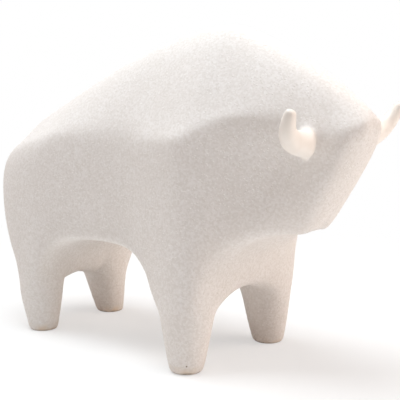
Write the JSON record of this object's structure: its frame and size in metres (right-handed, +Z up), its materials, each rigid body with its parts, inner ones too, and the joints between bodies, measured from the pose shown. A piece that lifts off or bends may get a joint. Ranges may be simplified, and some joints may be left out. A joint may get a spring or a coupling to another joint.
{
  "type": "bull figurine",
  "caption": "Moulded stoneware bull: humped body on short tapered legs, wedge head with smooth horns, for a shelf or table.",
  "frame": {"origin": "below the middle of the bull's box, in the plane of its soles", "axes": "+X the way the bull faces, +Y to its left, +Z up"},
  "size_m": [0.3222, 0.1362, 0.2283],
  "materials": {
    "stoneware": "matte"
  },
  "bodies": {
    "root": {"bull": "stoneware"}
  },
  "joints": []
}
